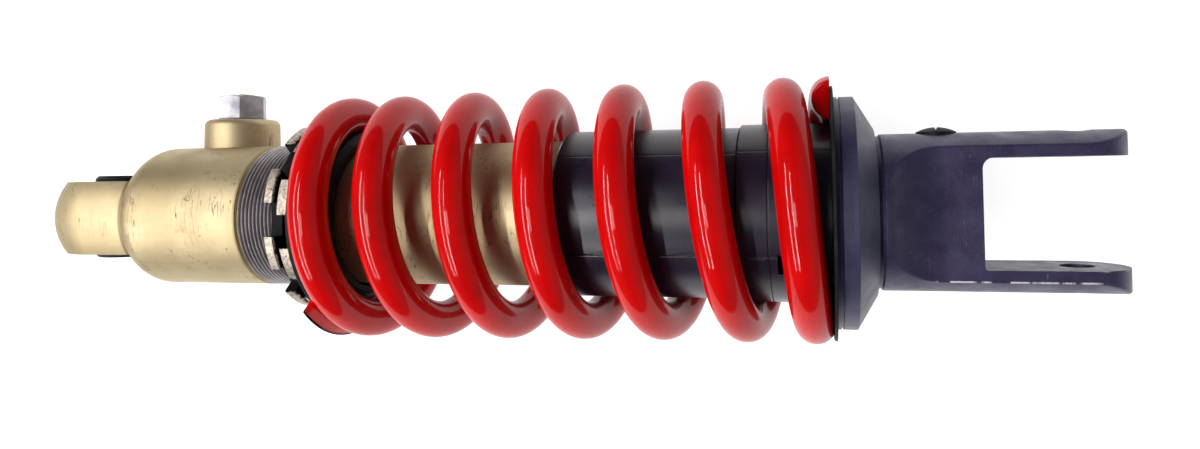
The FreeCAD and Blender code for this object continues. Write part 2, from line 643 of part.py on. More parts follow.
# ---------------------------------------------------------------------------------------------
# Spring preload: two castellated rings and the upper seat
# ---------------------------------------------------------------------------------------------
def castellated_ring(label, start, width, turned_by):
    end = f"{start} + {width}"
    body = turned(label, [(start, "ring_bore"), (end, "ring_bore"), (end, "ring_radius - ring_bevel"),
                          (f"{end} - ring_bevel", "ring_radius"),
                          (f"{start} + ring_bevel", "ring_radius"),
                          (start, "ring_radius - ring_bevel")])
    sketch = sketch_on(body, "YZ_Plane", label + "_notch")
    beyond = "ring_radius + ring_bevel"
    outline(sketch, [("ring_floor", "-notch_width / 2"), (beyond, "-notch_width / 2"),
                     (beyond, "notch_width / 2"), ("ring_floor", "notch_width / 2")])
    sketch.Visibility = False
    notch = body.newObject("PartDesign::Pocket", label + "_pocket")
    notch.Profile = sketch
    notch.Type = "ThroughAll"
    notch.Midplane = True
    doc.recompute()
    pattern = body.newObject("PartDesign::PolarPattern", label + "_pattern")
    pattern.Originals = [notch]
    pattern.Axis = (origin_feature(body, "X_Axis"), [""])
    pattern.Angle = 360
    pattern.Occurrences = 9
    body.Tip = pattern
    body.Placement = Placement(Vector(), Rotation(Vector(1, 0, 0), dim(turned_by)))
    doc.recompute()


def preload_parts():
    castellated_ring("lock_ring", "lock_ring_x", "lock_ring_width", "lock_ring_turned")
    castellated_ring("preload_ring", "preload_ring_x", "preload_ring_width",
                     "preload_ring_turned")
    turned("upper_spring_seat",
           [("upper_seat_x", "ring_bore"), ("upper_pilot_end", "ring_bore"),
            ("upper_pilot_end", "pilot_radius - pilot_bevel"),
            ("upper_pilot_end - pilot_bevel", "pilot_radius"),
            ("spring_start", "pilot_radius"), ("spring_start", "upper_seat_radius"),
            ("upper_seat_x + upper_seat_bevel", "upper_seat_radius"),
            ("upper_seat_x", "upper_seat_radius - upper_seat_bevel")])


# ---------------------------------------------------------------------------------------------
# Rod side of the cylinder: seal head, bush, seals and end cap
# ---------------------------------------------------------------------------------------------
def seal_head_parts():
    bore = "rod_radius + head_gap"
    bush_seat = "rod_radius + bush_wall"
    seal_bore = "rod_radius + oil_seal_wall"
    groove = "bore_radius - head_ring_depth"
    turned("seal_head",
           [("seal_head_x", bore), ("bush_x", bore), ("bush_x", bush_seat),
            ("bush_end", bush_seat), ("bush_end", bore), ("oil_seal_x", bore),
            ("oil_seal_x", seal_bore), ("seal_head_end", seal_bore),
            ("seal_head_end", "bore_radius"), ("head_ring_end", "bore_radius"),
            ("head_ring_end", groove), ("head_ring_x", groove), ("head_ring_x", "bore_radius"),
            ("seal_head_x + edge_break", "bore_radius"),
            ("seal_head_x", "bore_radius - edge_break")])
    turned("seal_head_o_ring", ring_points("head_ring_x", "head_ring_end", groove, "bore_radius"))
    turned("rod_bush", ring_points("bush_x", "bush_end", "rod_radius + rod_gap", bush_seat))
    turned("oil_seal", ring_points("oil_seal_x", "seal_head_end", "rod_radius + rod_gap", seal_bore))
    turned("stopper_ring", ring_points("stopper_x", "stopper_x + stopper_width",
                                       "bore_radius - stopper_depth", "bore_radius"))
    cap_bore = "rod_radius + end_cap_wall"
    cap_radius = "barrel_radius - rod_gap"
    turned("end_cap",
           [("end_cap_x", cap_bore), ("end_cap_end", cap_bore),
            ("end_cap_end", f"{cap_radius} - edge_break"),
            ("end_cap_end - edge_break", cap_radius), ("barrel_end", cap_radius),
            ("barrel_end", "bore_radius - rod_gap"), ("end_cap_x", "bore_radius - rod_gap")])
    turned("dust_seal",
           [("end_cap_x", "rod_radius + rod_gap"), ("end_cap_end - edge_break", "rod_radius + rod_gap"),
            ("end_cap_end + edge_break / 2", "rod_radius + edge_break / 2"),
            ("end_cap_end", "rod_radius + end_cap_wall / 2"), ("end_cap_end", cap_bore),
            ("end_cap_x", cap_bore)])


# ---------------------------------------------------------------------------------------------
# Moving side: rod, piston set, bump stop
# ---------------------------------------------------------------------------------------------
COMPRESSION_SHIM_RADII = ("15", "12.5", "10", "8.5")
REBOUND_SHIM_RADII = ("18.5", "15", "12")


def shims(label, start, way, radii):
    """A stack of shims of falling size; way is the sign of its direction along X."""
    points = [(start, "rod_stud_radius")]
    for i, radius in enumerate(radii):
        points.append((f"{start} + {way * i} * shim_thickness", radius))
        points.append((f"{start} + {way * (i + 1)} * shim_thickness", radius))
    points.append((f"{start} + {way * len(radii)} * shim_thickness", "rod_stud_radius"))
    turned(label, points)


def piston_parts():
    end = "piston_x + piston_width"
    groove = "bore_radius - band_depth"
    side = "bore_radius - piston_gap"
    blank = turned("piston_blank",
                   [("piston_x", "rod_stud_radius"), (end, "rod_stud_radius"), (end, side),
                    (f"{end} - piston_land", side), (f"{end} - piston_land", groove),
                    ("piston_x + piston_land", groove), ("piston_x + piston_land", side),
                    ("piston_x", side)], is_node=False)
    drill = ("piston_x - edge_break", "piston_width + 2 * edge_break")
    ports = spread("outer_port", 4, "port_radius", "outer_ports", *drill)
    ports += spread("inner_port", 6, "port_radius", "inner_ports", *drill)
    node(cut("piston_cut", blank, ports), "piston")
    turned("piston_band", ring_points("piston_x + piston_land", f"{end} - piston_land", groove,
                                      "bore_radius - ring_gap"))
    shims("compression_shims", "piston_x", -1, COMPRESSION_SHIM_RADII)
    shims("rebound_shims", end, 1, REBOUND_SHIM_RADII)
    turned("shim_plate", ring_points(f"{end} + 3 * shim_thickness", "rod_shoulder",
                                     "rod_stud_radius", "plate_radius"))
    nut = doc.addObject("Part::Prism", "nut_hex")
    nut.Polygon = 6
    nut.setExpression("Circumradius", bound("nut_radius"))
    nut.setExpression("Height", bound("nut_width"))
    face = "piston_x - 4 * shim_thickness"
    place(nut, "X", f"{face} - nut_width")
    nut_bore = drum("nut_bore", "X", "rod_stud_radius", f"{face} - 2 * nut_width", "3 * nut_width")
    node(cut("nut_cut", nut, [nut_bore]), "piston_nut")


def rod_parts():
    turned("damper_rod",
           [("rod_start", "rod_bore"), ("rod_end", "rod_bore"), ("rod_end", "rod_radius"),
            ("rod_shoulder", "rod_radius"), ("rod_shoulder", "rod_stud_radius"),
            ("rod_start + edge_break", "rod_stud_radius"),
            ("rod_start", "rod_stud_radius - edge_break")])
    bumper = "rod_radius + bumper_wall"
    turned("top_out_bumper",
           [("rod_shoulder", "rod_radius"), ("bumper_end", "rod_radius"),
            ("bumper_end", f"{bumper} - edge_break"), ("bumper_end - edge_break", bumper),
            ("rod_shoulder", bumper)])
    turned("bump_stop",
           [("bump_stop_x", "rod_radius + ring_gap"), ("bump_stop_end", "rod_radius + ring_gap"),
            ("bump_stop_end", "bump_foot_radius"),
            ("bump_stop_end - bump_belly", "bump_belly_radius"),
            ("bump_stop_end - bump_waist", "bump_waist_radius"),
            ("bump_stop_end - bump_ridge", "bump_ridge_radius"),
            ("bump_stop_end - bump_nose", "bump_nose_radius"),
            ("bump_stop_end - bump_tip", "bump_tip_radius"),
            ("bump_stop_x", "bump_face_radius")])
    turned("bump_stop_cup",
           [("bump_stop_end", "rod_radius"), ("cup_end", "rod_radius"), ("cup_end", "cup_radius"),
            ("cup_x", "cup_radius"), ("cup_x", "cup_radius - cup_wall"),
            ("bump_stop_end", "cup_radius - cup_wall")])


def lower_seat_parts():
    washer_bore = "seat_pilot_radius + washer_gap"
    turned("spring_washer",
           [("spring_end", washer_bore), ("seat_x", washer_bore), ("seat_x", "washer_radius"),
            ("spring_end + washer_bevel", "washer_radius"),
            ("spring_end", "washer_radius - washer_bevel")])
    pilot_bore = "seat_pilot_radius - seat_pilot_wall"
    rim_end = "seat_x + seat_rim"
    turned("lower_spring_seat",
           [("seat_pilot_x", pilot_bore), ("spigot_x", pilot_bore),
            ("spigot_x + edge_break", "spigot_radius"), ("seat_end", "spigot_radius"),
            ("seat_end", "seat_end_radius"), ("seat_bevel_x", "seat_radius"),
            (f"{rim_end} + seat_groove", "seat_radius"),
            (f"{rim_end} + seat_groove", "seat_radius - seat_groove"),
            (rim_end, "seat_radius - seat_groove"), (rim_end, "seat_radius"),
            ("seat_x", "seat_radius"), ("seat_x", "seat_pilot_radius"),
            ("seat_pilot_x", "seat_pilot_radius")])
    tube = turned("guide_tube_blank",
                  [("tube_x", "seat_pilot_radius"), ("spring_end", "seat_pilot_radius"),
                   ("spring_end", "tube_step_radius"),
                   ("tube_step_x + tube_step_ramp", "tube_step_radius"),
                   ("tube_step_x", "tube_radius"), ("tube_x + edge_break", "tube_radius"),
                   ("tube_x", "tube_radius - edge_break")], is_node=False)
    drain = block("drain_slot", ("drain_x", "drain_y", "0"),
                  ("drain_width", "drain_length", "body_radius + tube_radius"))
    node(cut("guide_tube_cut", tube, [drain]), "guide_tube")


# ---------------------------------------------------------------------------------------------
# Clevis with the rebound adjuster
# ---------------------------------------------------------------------------------------------
def clevis():
    tip = "clevis_bore_x + ear_half"
    neck = "clevis_radius - clevis_relief"
    relief_end = "seat_end + clevis_relief_width"
    stub = turned("clevis_stub",
                  [("spigot_x", "0"), ("spigot_x", "spigot_radius - edge_break"),
                   ("spigot_x + edge_break", "spigot_radius"), ("seat_end", "spigot_radius"),
                   ("seat_end", neck), (relief_end, neck),
                   (f"{relief_end} + clevis_relief", "clevis_radius"),
                   (tip, "clevis_radius"), (tip, "0")], is_node=False)
    plan = doc.addObject("PartDesign::Body", "clevis_plan")
    sketch = sketch_on(plan, "XZ_Plane", "clevis_plan_outline")
    mouth = "scoop_x - sqrt(scoop_radius ^ 2 - (ear_half + scoop_radius - clevis_radius) ^ 2)"
    outline(sketch, [
        ("spigot_x - edge_break", "clevis_radius"), ("spigot_x - edge_break", "-clevis_radius"),
        (mouth, "-clevis_radius", ("scoop_x", "-ear_half - scoop_radius", -1)),
        ("scoop_x", "-ear_half"),
        ("clevis_bore_x", "-ear_half", ("clevis_bore_x", "0", 1)),
        ("clevis_bore_x", "ear_half"),
        ("scoop_x", "ear_half", ("scoop_x", "ear_half + scoop_radius", -1)),
        (mouth, "clevis_radius"),
    ])
    pad = plan.newObject("PartDesign::Pad", "clevis_plan_pad")
    pad.Profile = sketch
    pad.Midplane = True
    pad.setExpression("Length", bound("3 * clevis_radius"))
    plan.Tip = pad
    slot = doc.addObject("PartDesign::Body", "clevis_slot")
    slot_sketch = sketch_on(slot, "XY_Plane", "clevis_slot_outline")
    beyond = "clevis_bore_x + 2 * ear_half"
    low = "slot_small_corner"
    outline(slot_sketch, [
        ("slot_x", f"-slot_half + {low}", (f"slot_x + {low}", f"-slot_half + {low}", 1)),
        (f"slot_x + {low}", "-slot_half"), (beyond, "-slot_half"), (beyond, "slot_half"),
        ("slot_x + slot_corner", "slot_half",
         ("slot_x + slot_corner", "slot_half - slot_corner", 1)),
        ("slot_x", "slot_half - slot_corner"),
    ])
    slot_pad = slot.newObject("PartDesign::Pad", "clevis_slot_pad")
    slot_pad.Profile = slot_sketch
    slot_pad.Midplane = True
    slot_pad.setExpression("Length", bound("4 * ear_half"))
    slot.Tip = slot_pad
    doc.recompute()

    def is_outer_edge(edge):
        """The edges where the ears' round backs meet their flats and ends."""
        box = edge.BoundBox
        on_back = abs(box.Center.y) > dim("slot_half")
        return on_back and box.XMin > dim("scoop_x") - 0.5 * dim("scoop_radius")

    blank = common("clevis_body", stub, plan)
    forged = rounded("clevis_rounded", blank, "ear_round", is_outer_edge)
    adjuster = ("adjuster_x", "0")
    hollows = [
        slot,
        drum("clevis_bore", "Y", "bolt_radius", "-2 * clevis_radius", "4 * clevis_radius",
             ("clevis_bore_x", "0")),
        drum("rod_socket", "X", "rod_radius", "spigot_x - edge_break",
             "rod_end - spigot_x + edge_break"),
        drum("push_rod_hole", "X", "rod_bore", "rod_end - edge_break",
             "adjuster_x - rod_end + edge_break"),
        drum("adjuster_hole", "Y", "adjuster_radius + rod_gap", "adjuster_foot - adjuster_relief",
             "2 * clevis_radius", adjuster),
        drum("adjuster_recess", "Y", "recess_radius", "adjuster_neck - rod_gap", "clevis_radius",
             adjuster),
    ]
    node(cut("clevis_cut", forged, hollows), "clevis")


def rebound_parts():
    dome = "(adjuster_head ^ 2 + adjuster_dome ^ 2) / (2 * adjuster_dome)"
    head = turned("adjuster_head_blank",
                  [("adjuster_neck", "0"), ("adjuster_neck", "adjuster_head"),
                   ("adjuster_top - adjuster_dome", "adjuster_head",
                    (f"adjuster_top - {dome}", "0", -1)),
                   ("adjuster_top", "0")], axis="Y", is_node=False)
    head.setExpression("Placement.Base.x", bound("adjuster_x"))
    shank = drum("adjuster_shank", "Y", "adjuster_radius", "adjuster_foot",
                 "adjuster_neck - adjuster_foot + edge_break / 2", ("adjuster_x", "0"))
    slot = driver_slot("adjuster_slot", ("adjuster_x", "0"), "adjuster_top", "adjuster_head")
    node(cut("adjuster_cut", fused("adjuster_blank", [head, shank]), [slot]),
         "rebound_adjuster")
    land = "rod_start + push_rod_inset"
    turned("rebound_push_rod",
           [("rod_start - push_rod_lead", "0"), ("rod_start + push_rod_taper", "push_rod_tip"),
            (land, "push_rod_seat"), (f"{land} + push_rod_land", "push_rod_seat"),
            (f"{land} + push_rod_land + push_rod_ramp", "push_rod_radius"),
            ("push_rod_end", "push_rod_radius"), ("push_rod_end", "0")])


# ---------------------------------------------------------------------------------------------
# Coil spring: closed and ground ends, slightly bowed between its seats
# ---------------------------------------------------------------------------------------------
FIRST_TURN = -1.625     # turns counted from coil_top
LAST_TURN = 6.06
SEAT_GAP = 0.15         # between the left end turn and its neighbour
CLOSING_START = 4.6     # where the pitch starts to fall at the right end
CLOSING_RATE = 7.5      # mm per square turn
CLOSING_LENGTH = 0.99   # turns over which it falls; after them the pitch stays
BOW_RATE = 0.45         # mm that the axis moves along +Y in one turn
BOW_START = 1.0         # turn where the axis is centred
BOW_LOW = -0.4          # largest offsets that clear the pilots
BOW_HIGH = 1.1
PLANE_TILT = 0.016      # lean of the turns' planes, X over Y
FRONT_LEAN = 0.05       # lean of the middle turns' planes, X over Z
LEAN_START = 2.0        # turns between which they lean
LEAN_TURNS = 3.0


def spring_point(turn):
    """The middle of the wire after a number of turns."""
    pitch = dim("coil_pitch")
    angle = 2 * math.pi * turn
    y = dim("coil_radius") * math.cos(angle)
    z = dim("coil_radius") * math.sin(angle)
    fall = (pitch - dim("wire_diameter") - SEAT_GAP) / (2 * -FIRST_TURN - 1)
    left = max(0.0, -turn)
    over = max(0.0, turn - CLOSING_START)
    bent = min(over, CLOSING_LENGTH)
    drop = CLOSING_RATE * bent * (2 * over - bent)
    share = min(max((turn - LEAN_START) / LEAN_TURNS, 0.0), 1.0)
    lean = PLANE_TILT * y + FRONT_LEAN * math.sin(math.pi * share) * z
    x = dim("coil_top") + pitch * turn + fall * left ** 2 - drop - lean
    bow = min(max(BOW_RATE * (turn - BOW_START), BOW_LOW), BOW_HIGH)
    return Vector(x, y + bow, z)


def coil_spring():
    steps_per_turn = 16
    count = int(round((LAST_TURN - FIRST_TURN) * steps_per_turn))
    points = [spring_point(FIRST_TURN + (LAST_TURN - FIRST_TURN) * i / count)
              for i in range(count + 1)]
    curve = Part.BSplineCurve()
    curve.interpolate(points)
    path = Part.Wire(curve.toShape())
    start = curve.tangent(curve.FirstParameter)[0]
    circle = Part.Circle(points[0], start, dim("wire_diameter") / 2)
    profile = Part.Wire(circle.toShape())
    pipe = path.makePipeShell([profile], True, True)
    length = dim("spring_end") - dim("spring_start")
    reach = 2 * dim("coil_radius")
    corner = Vector(dim("spring_start"), -reach, -reach)
    keep = Part.makeBox(length, 2 * reach, 2 * reach, corner)
    obj = doc.addObject("Part::Feature", "coil_spring")
    obj.Shape = pipe.common(keep)
    node(obj, "coil_spring")


# ---------------------------------------------------------------------------------------------
def check_and_export():
    doc.recompute()
    for obj in doc.Objects:
        if "Invalid" in obj.State or "Error" in obj.State:
            raise RuntimeError(f"{obj.Label} failed: {obj.State}")
    os.makedirs("parts", exist_ok=True)
    for label, obj in nodes.items():
        shape = obj.Shape
        if shape.isNull() or not shape.isValid() or not shape.Solids:
            raise RuntimeError(f"{label} has no valid solid")
        box = shape.BoundBox
        print(f"{label:24s} solids {len(shape.Solids)}  volume {shape.Volume:10.1f}  "
              f"x {box.XMin:7.2f} {box.XMax:7.2f}  y {box.YMin:7.2f} {box.YMax:7.2f}  "
              f"z {box.ZMin:7.2f} {box.ZMax:7.2f}")
        shape.exportStep(f"parts/{label}.step")


damper_body()
damper_tube()
eye_bearing()
gas_side()
compression_valve()
compression_screw()
preload_parts()
seal_head_parts()
rod_parts()
piston_parts()
lower_seat_parts()
clevis()
rebound_parts()
coil_spring()
check_and_export()
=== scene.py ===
"""Rear shock absorber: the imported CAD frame, with detailed pieces and materials around it."""
import json
import math

import bpy
import bmesh
from mathutils import Euler, Matrix, Vector


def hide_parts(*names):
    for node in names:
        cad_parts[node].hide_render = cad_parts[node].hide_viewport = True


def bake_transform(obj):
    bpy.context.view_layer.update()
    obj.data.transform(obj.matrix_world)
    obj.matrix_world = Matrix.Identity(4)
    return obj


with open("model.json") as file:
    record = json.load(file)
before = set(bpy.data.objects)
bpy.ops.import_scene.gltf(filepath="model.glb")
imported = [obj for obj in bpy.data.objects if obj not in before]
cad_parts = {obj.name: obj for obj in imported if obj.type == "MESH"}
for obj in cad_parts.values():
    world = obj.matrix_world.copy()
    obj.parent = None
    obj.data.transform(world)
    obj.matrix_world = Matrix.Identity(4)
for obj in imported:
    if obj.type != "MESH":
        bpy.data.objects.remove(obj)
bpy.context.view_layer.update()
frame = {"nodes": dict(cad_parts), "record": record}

# --------------------------------------------------------------------------------------------
# Sizes shared with the CAD model, in metres
# --------------------------------------------------------------------------------------------
SPRING_START = 0.0975   # the spring's ground ends
SPRING_END = 0.271
WIRE = 0.0126
COIL_RADIUS = 0.0372
COIL_PITCH = 0.02738    # pitch of the open turns
COIL_TOP = 0.1208       # where the wire first passes its highest Y in an open turn
FIRST_TURN = -1.625     # turns counted from COIL_TOP
LAST_TURN = 6.06
SEAT_GAP = 0.00015      # between the left end turn and its neighbour
CLOSING_START = 4.6     # where the pitch starts to fall at the right end
CLOSING_RATE = 0.0075   # metres per square turn
CLOSING_LENGTH = 0.99   # turns over which it falls; after them the pitch stays
BOW_RATE = 0.00045      # metres that the axis moves along +Y in one turn
BOW_START = 1.0         # turn where the axis is centred
BOW_LOW = -0.0004       # largest offsets that clear the pilots
BOW_HIGH = 0.0011
PLANE_TILT = 0.016      # lean of the turns' planes, X over Y
FRONT_LEAN = 0.05       # lean of the middle turns' planes, X over Z
LEAN_START = 2.0        # turns between which they lean
LEAN_TURNS = 3.0
SPLIT_TURN = 0.0        # where the spring is parted into two pieces
TURN_STEP = 0.001       # turns either side of a point that give the wire's direction
CAP_SHARE = 0.9         # ring near a cut face's rim, which keeps soft shading off the face

# places of what is painted rather than modelled
THREAD_START = 0.0670
THREAD_END = 0.0945
THREAD_VALLEY = 0.02545     # radii between which the painted shade in the thread's valleys gives way to the light crests
THREAD_CREST = 0.02590
CREASE_X = 0.0178           # line where the eye's round nose meets the head, with painted shade along it
TANG_HALF = 0.0135          # half the width across the eye's flats
TOOTH_WORN = 0.03345        # radius beyond which the rings' teeth are bare
TUBE_JOINT_X = 0.2520       # line round the guide tube
TUBE_SEAMS = (0.75, -0.44)  # angles of its moulding seams
EAR_EDGE_Y = -0.0204        # the clevis's lower front edge
EAR_FRONT_Z = 0.0138
SLOT_FACE_Y = -0.0169       # the lower face of its slot

FLOOR_Z = -0.0437
FLOOR_HALF = 4.0
STUDIO_MIDDLE = Vector((0.17, 0, 0))  # where the lights are aimed
EDGE_ROUND = 0.0003                   # how far edges look rounded in every material

# the camera that matches the photo
CAMERA_PLACE = (0.2670, 0.014735, 0.27575)
CAMERA_TURNS = (0.02934, 0.21168, -0.01562)  # about X, Y and Z
CAMERA_LENS = 24.528
CAMERA_SHIFT = (-0.034776, -0.065378)


# --------------------------------------------------------------------------------------------
# Node helpers
# --------------------------------------------------------------------------------------------
class Shader:
    """A node material with short ways to add and join nodes."""

    def __init__(self, name, colour, metallic, roughness, **sockets):
        self.mat = bpy.data.materials.new(name)
        self.mat.use_nodes = True
        self.tree = self.mat.node_tree
        self.bsdf = self.tree.nodes["Principled BSDF"]
        self.bsdf.inputs["Metallic"].default_value = metallic
        self.bsdf.inputs["Roughness"].default_value = roughness
        self.bsdf.inputs["Base Color"].default_value = (*colour, 1)
        for key, value in sockets.items():
            self.bsdf.inputs[key.replace("_", " ")].default_value = value
        self.place = self.add("ShaderNodeTexCoord").outputs["Object"]
        rounded = self.add("ShaderNodeBevel", samples=4)
        rounded.inputs["Radius"].default_value = EDGE_ROUND
        self.normal = rounded.outputs[0]
        self.put(self.bsdf.inputs["Normal"], self.normal)

    def add(self, kind, **settings):
        made = self.tree.nodes.new(kind)
        for key, value in settings.items():
            setattr(made, key, value)
        return made

    def put(self, socket, value):
        """Join an output to a socket, or set the socket's own value."""
        if isinstance(value, bpy.types.NodeSocket):
            self.tree.links.new(value, socket)
        elif isinstance(value, tuple) and len(value) == 3 and len(socket.default_value) == 4:
            socket.default_value = (*value, 1)
        else:
            socket.default_value = value

    def maths(self, operation, a, b=0.0):
        made = self.add("ShaderNodeMath", operation=operation)
        self.put(made.inputs[0], a)
        self.put(made.inputs[1], b)
        return made.outputs[0]

    def inverse(self, value):
        return self.maths("SUBTRACT", 1.0, value)

    def both(self, first, *others):
        """The product of masks."""
        for other in others:
            first = self.maths("MULTIPLY", first, other)
        return first

    def near(self, value, place, low, high):
        """1 within low of a place, 0 beyond high from it."""
        away = self.maths("ABSOLUTE", self.maths("SUBTRACT", value, place))
        return self.inverse(self.step(away, low, high))

    def axes(self):
        made = self.add("ShaderNodeSeparateXYZ")
        self.put(made.inputs[0], self.place)
        return made.outputs

    def stretched(self, scale, turn=(0, 0, 0)):
        made = self.add("ShaderNodeMapping")
        self.put(made.inputs["Vector"], self.place)
        made.inputs["Scale"].default_value = scale
        made.inputs["Rotation"].default_value = turn
        return made.outputs[0]

    def noise(self, scale, detail=3.0, where=None, rough=0.55):
        made = self.add("ShaderNodeTexNoise")
        self.put(made.inputs["Vector"], where if where is not None else self.place)
        made.inputs["Scale"].default_value = scale
        made.inputs["Detail"].default_value = detail
        made.inputs["Roughness"].default_value = rough
        return made.outputs["Fac"]

    def step(self, value, low, high):
        """0 below low, 1 above high, smooth between."""
        made = self.add("ShaderNodeMapRange", interpolation_type="SMOOTHSTEP", clamp=True)
        self.put(made.inputs["Value"], value)
        made.inputs["From Min"].default_value = low
        made.inputs["From Max"].default_value = high
        return made.outputs[0]

    def scaled(self, value, low, high, to_low, to_high):
        made = self.add("ShaderNodeMapRange", clamp=True)
        self.put(made.inputs["Value"], value)
        made.inputs["From Min"].default_value = low
        made.inputs["From Max"].default_value = high
        made.inputs["To Min"].default_value = to_low
        made.inputs["To Max"].default_value = to_high
        return made.outputs[0]

    def mix(self, factor, a, b):
        made = self.add("ShaderNodeMix", data_type="RGBA")
        self.put(made.inputs["Factor"], factor)
        self.put(made.inputs[6], a)
        self.put(made.inputs[7], b)
        return made.outputs[2]

    def over(self, tone, colour, mask, share=1.0):
        """A tone with a colour laid over it where the mask is 1."""
        return self.mix(self.maths("MULTIPLY", mask, share), tone, colour)

    def mottled(self, scale, detail, low, high, a, b):
        """One tone that turns to another in soft patches."""
        return self.mix(self.step(self.noise(scale, detail), low, high), a, b)

    def streaks(self, along, across, detail=2.0):
        """Noise drawn out along X or across it."""
        return self.noise(1.0, detail, self.stretched((along, across, across)))

    def bump(self, height, strength, distance):
        made = self.add("ShaderNodeBump")
        made.inputs["Strength"].default_value = strength
        made.inputs["Distance"].default_value = distance
        self.put(made.inputs["Height"], height)
        self.put(made.inputs["Normal"], self.normal)
        self.normal = made.outputs[0]
        self.put(self.bsdf.inputs["Normal"], self.normal)

    def colour(self, value):
        self.put(self.bsdf.inputs["Base Color"], value)

    def rough(self, value):
        self.put(self.bsdf.inputs["Roughness"], value)

    def radius(self):
        """Distance from the damper's axis."""
        _, y, z = self.axes()
        squares = self.maths("ADD", self.maths("MULTIPLY", y, y), self.maths("MULTIPLY", z, z))
        return self.maths("SQRT", squares)


def scratches(m, scale, turn, low, high):
    """Sparse fine scratches: the ridge of a stretched noise, broken up by a coarse one."""
    fine = m.noise(scale, 2.0, m.stretched((1.0, 0.06, 1.0), turn), 0.5)
    line = m.near(fine, 0.5, 0.0, 0.012)
    return m.both(line, m.step(m.noise(scale * 0.21, 2.0), low, high))


# --------------------------------------------------------------------------------------------
# Materials
# --------------------------------------------------------------------------------------------
def thread_paint(m, tone):
    """The bare grey thread, with painted shade in its valleys, and the olive line where the anodising
    stops.
    """
    x, _, _ = m.axes()
    before_end = m.inverse(m.step(x, THREAD_END - 0.0005, THREAD_END + 0.0005))
    bare = m.both(m.step(x, THREAD_START + 0.0005, THREAD_START + 0.0022), before_end)
    olive = m.both(m.step(x, THREAD_START - 0.0010, THREAD_START), before_end)
    tone = m.over(tone, (0.25, 0.20, 0.09), olive, 0.6)
    crest = m.mottled(260.0, 4.0, 0.4, 0.6, (0.46, 0.43, 0.44), (0.60, 0.56, 0.58))
    # painted shade: the thread's valleys darkened by radius, the crests left light
    valley_shade = m.inverse(m.step(m.radius(), THREAD_VALLEY, THREAD_CREST))
    return m.mix(bare, tone, m.mix(valley_shade, crest, (0.15, 0.135, 0.145)))


def gold():
    """Champagne anodised aluminium: turned lines, small dark scratches, bare grey thread; painted shade
    at the nose's crease and in the thread's valleys.
    """
    m = Shader("gold", (0.52, 0.42, 0.25), 1.0, 0.5)
    x, y, _ = m.axes()
    tone = m.mottled(38.0, 4.0, 0.38, 0.66, (0.44, 0.35, 0.205), (0.53, 0.43, 0.265))
    tone = m.over(tone, (0.30, 0.24, 0.15), m.step(m.noise(150.0, 5.0), 0.60, 0.74), 0.35)
    tone = m.over(tone, (0.40, 0.31, 0.17), m.step(m.streaks(26.0, 330.0, 3.0), 0.50, 0.72), 0.28)
    # painted shade: a dark line along the crease where the nose meets the head, beside the flats
    crease_shade = m.near(x, CREASE_X, 0.0001, 0.0011)
    beside_flats = m.inverse(m.step(m.maths("ABSOLUTE", y), TANG_HALF, TANG_HALF + 0.0007))
    tone = m.over(tone, (0.13, 0.095, 0.045), m.both(crease_shade, beside_flats), 0.75)
    marks = m.maths("MAXIMUM", scratches(m, 420.0, (0.3, 0.2, 0.9), 0.52, 0.60),
                    scratches(m, 360.0, (0.1, 0.7, -0.8), 0.54, 0.62))
    tone = m.over(tone, (0.10, 0.075, 0.045), marks, 0.8)
    m.colour(thread_paint(m, tone))
    m.rough(m.scaled(m.noise(90.0, 5.0), 0.3, 0.7, 0.50, 0.60))
    m.bump(m.streaks(1900.0, 8.0), 0.25, 0.00006)
    m.bump(m.inverse(marks), 0.6, 0.0001)
    return m.mat


def steel(name, colour, roughness, grain=600.0):
    """Turned or ground steel."""
    m = Shader(name, colour, 1.0, roughness)
    dark = tuple(c * 0.62 for c in colour)
    m.colour(m.mottled(120.0, 5.0, 0.42, 0.72, colour, dark))
    m.rough(m.scaled(m.noise(75.0, 4.0), 0.3, 0.7, roughness * 0.75, roughness * 1.35))
    m.bump(m.noise(grain, 3.0, m.stretched((1.0, 3.0, 1.0))), 0.15, 0.00006)
    return m.mat


def dull(name, colour, roughness, lighter, grain=900.0, metallic=0.0, specular=0.3):
    """Rubber, plastic, paint or black oxide: a mottled dull surface."""
    m = Shader(name, colour, metallic, roughness, Specular_IOR_Level=specular)
    m.colour(m.mottled(130.0, 5.0, 0.45, 0.75, colour, lighter))
    m.rough(m.scaled(m.noise(85.0, 4.0), 0.3, 0.7, roughness * 0.82, min(1.0, roughness * 1.2)))
    m.bump(m.noise(grain, 4.0), 0.3, 0.00008)
    return m.mat


def ring_paint():
    """Black ring steel with its finish worn to bare metal on the teeth."""
    m = Shader("ring_paint", (0.006, 0.0055, 0.007), 0.0, 0.6, Specular_IOR_Level=0.10)
    uneven = m.scaled(m.noise(700.0, 4.0), 0.3, 0.7, -0.0004, 0.0004)
    worn = m.step(m.maths("ADD", m.radius(), uneven), TOOTH_WORN, TOOTH_WORN + 0.0003)
    worn = m.both(worn, m.step(m.noise(420.0, 4.0), 0.30, 0.42))
    dark = m.mottled(300.0, 5.0, 0.5, 0.75, (0.005, 0.005, 0.006), (0.022, 0.020, 0.021))
    bare = m.mottled(900.0, 3.0, 0.42, 0.62, (0.44, 0.38, 0.31), (0.25, 0.215, 0.185))
    m.colour(m.mix(worn, dark, bare))
    m.put(m.bsdf.inputs["Metallic"], m.maths("MULTIPLY", worn, 0.85))
    m.rough(m.scaled(worn, 0.0, 1.0, 0.62, 0.42))
    m.bump(m.noise(1300.0, 4.0), 0.45, 0.00012)
    m.bump(m.inverse(worn), 0.4, 0.00012)
    return m.mat


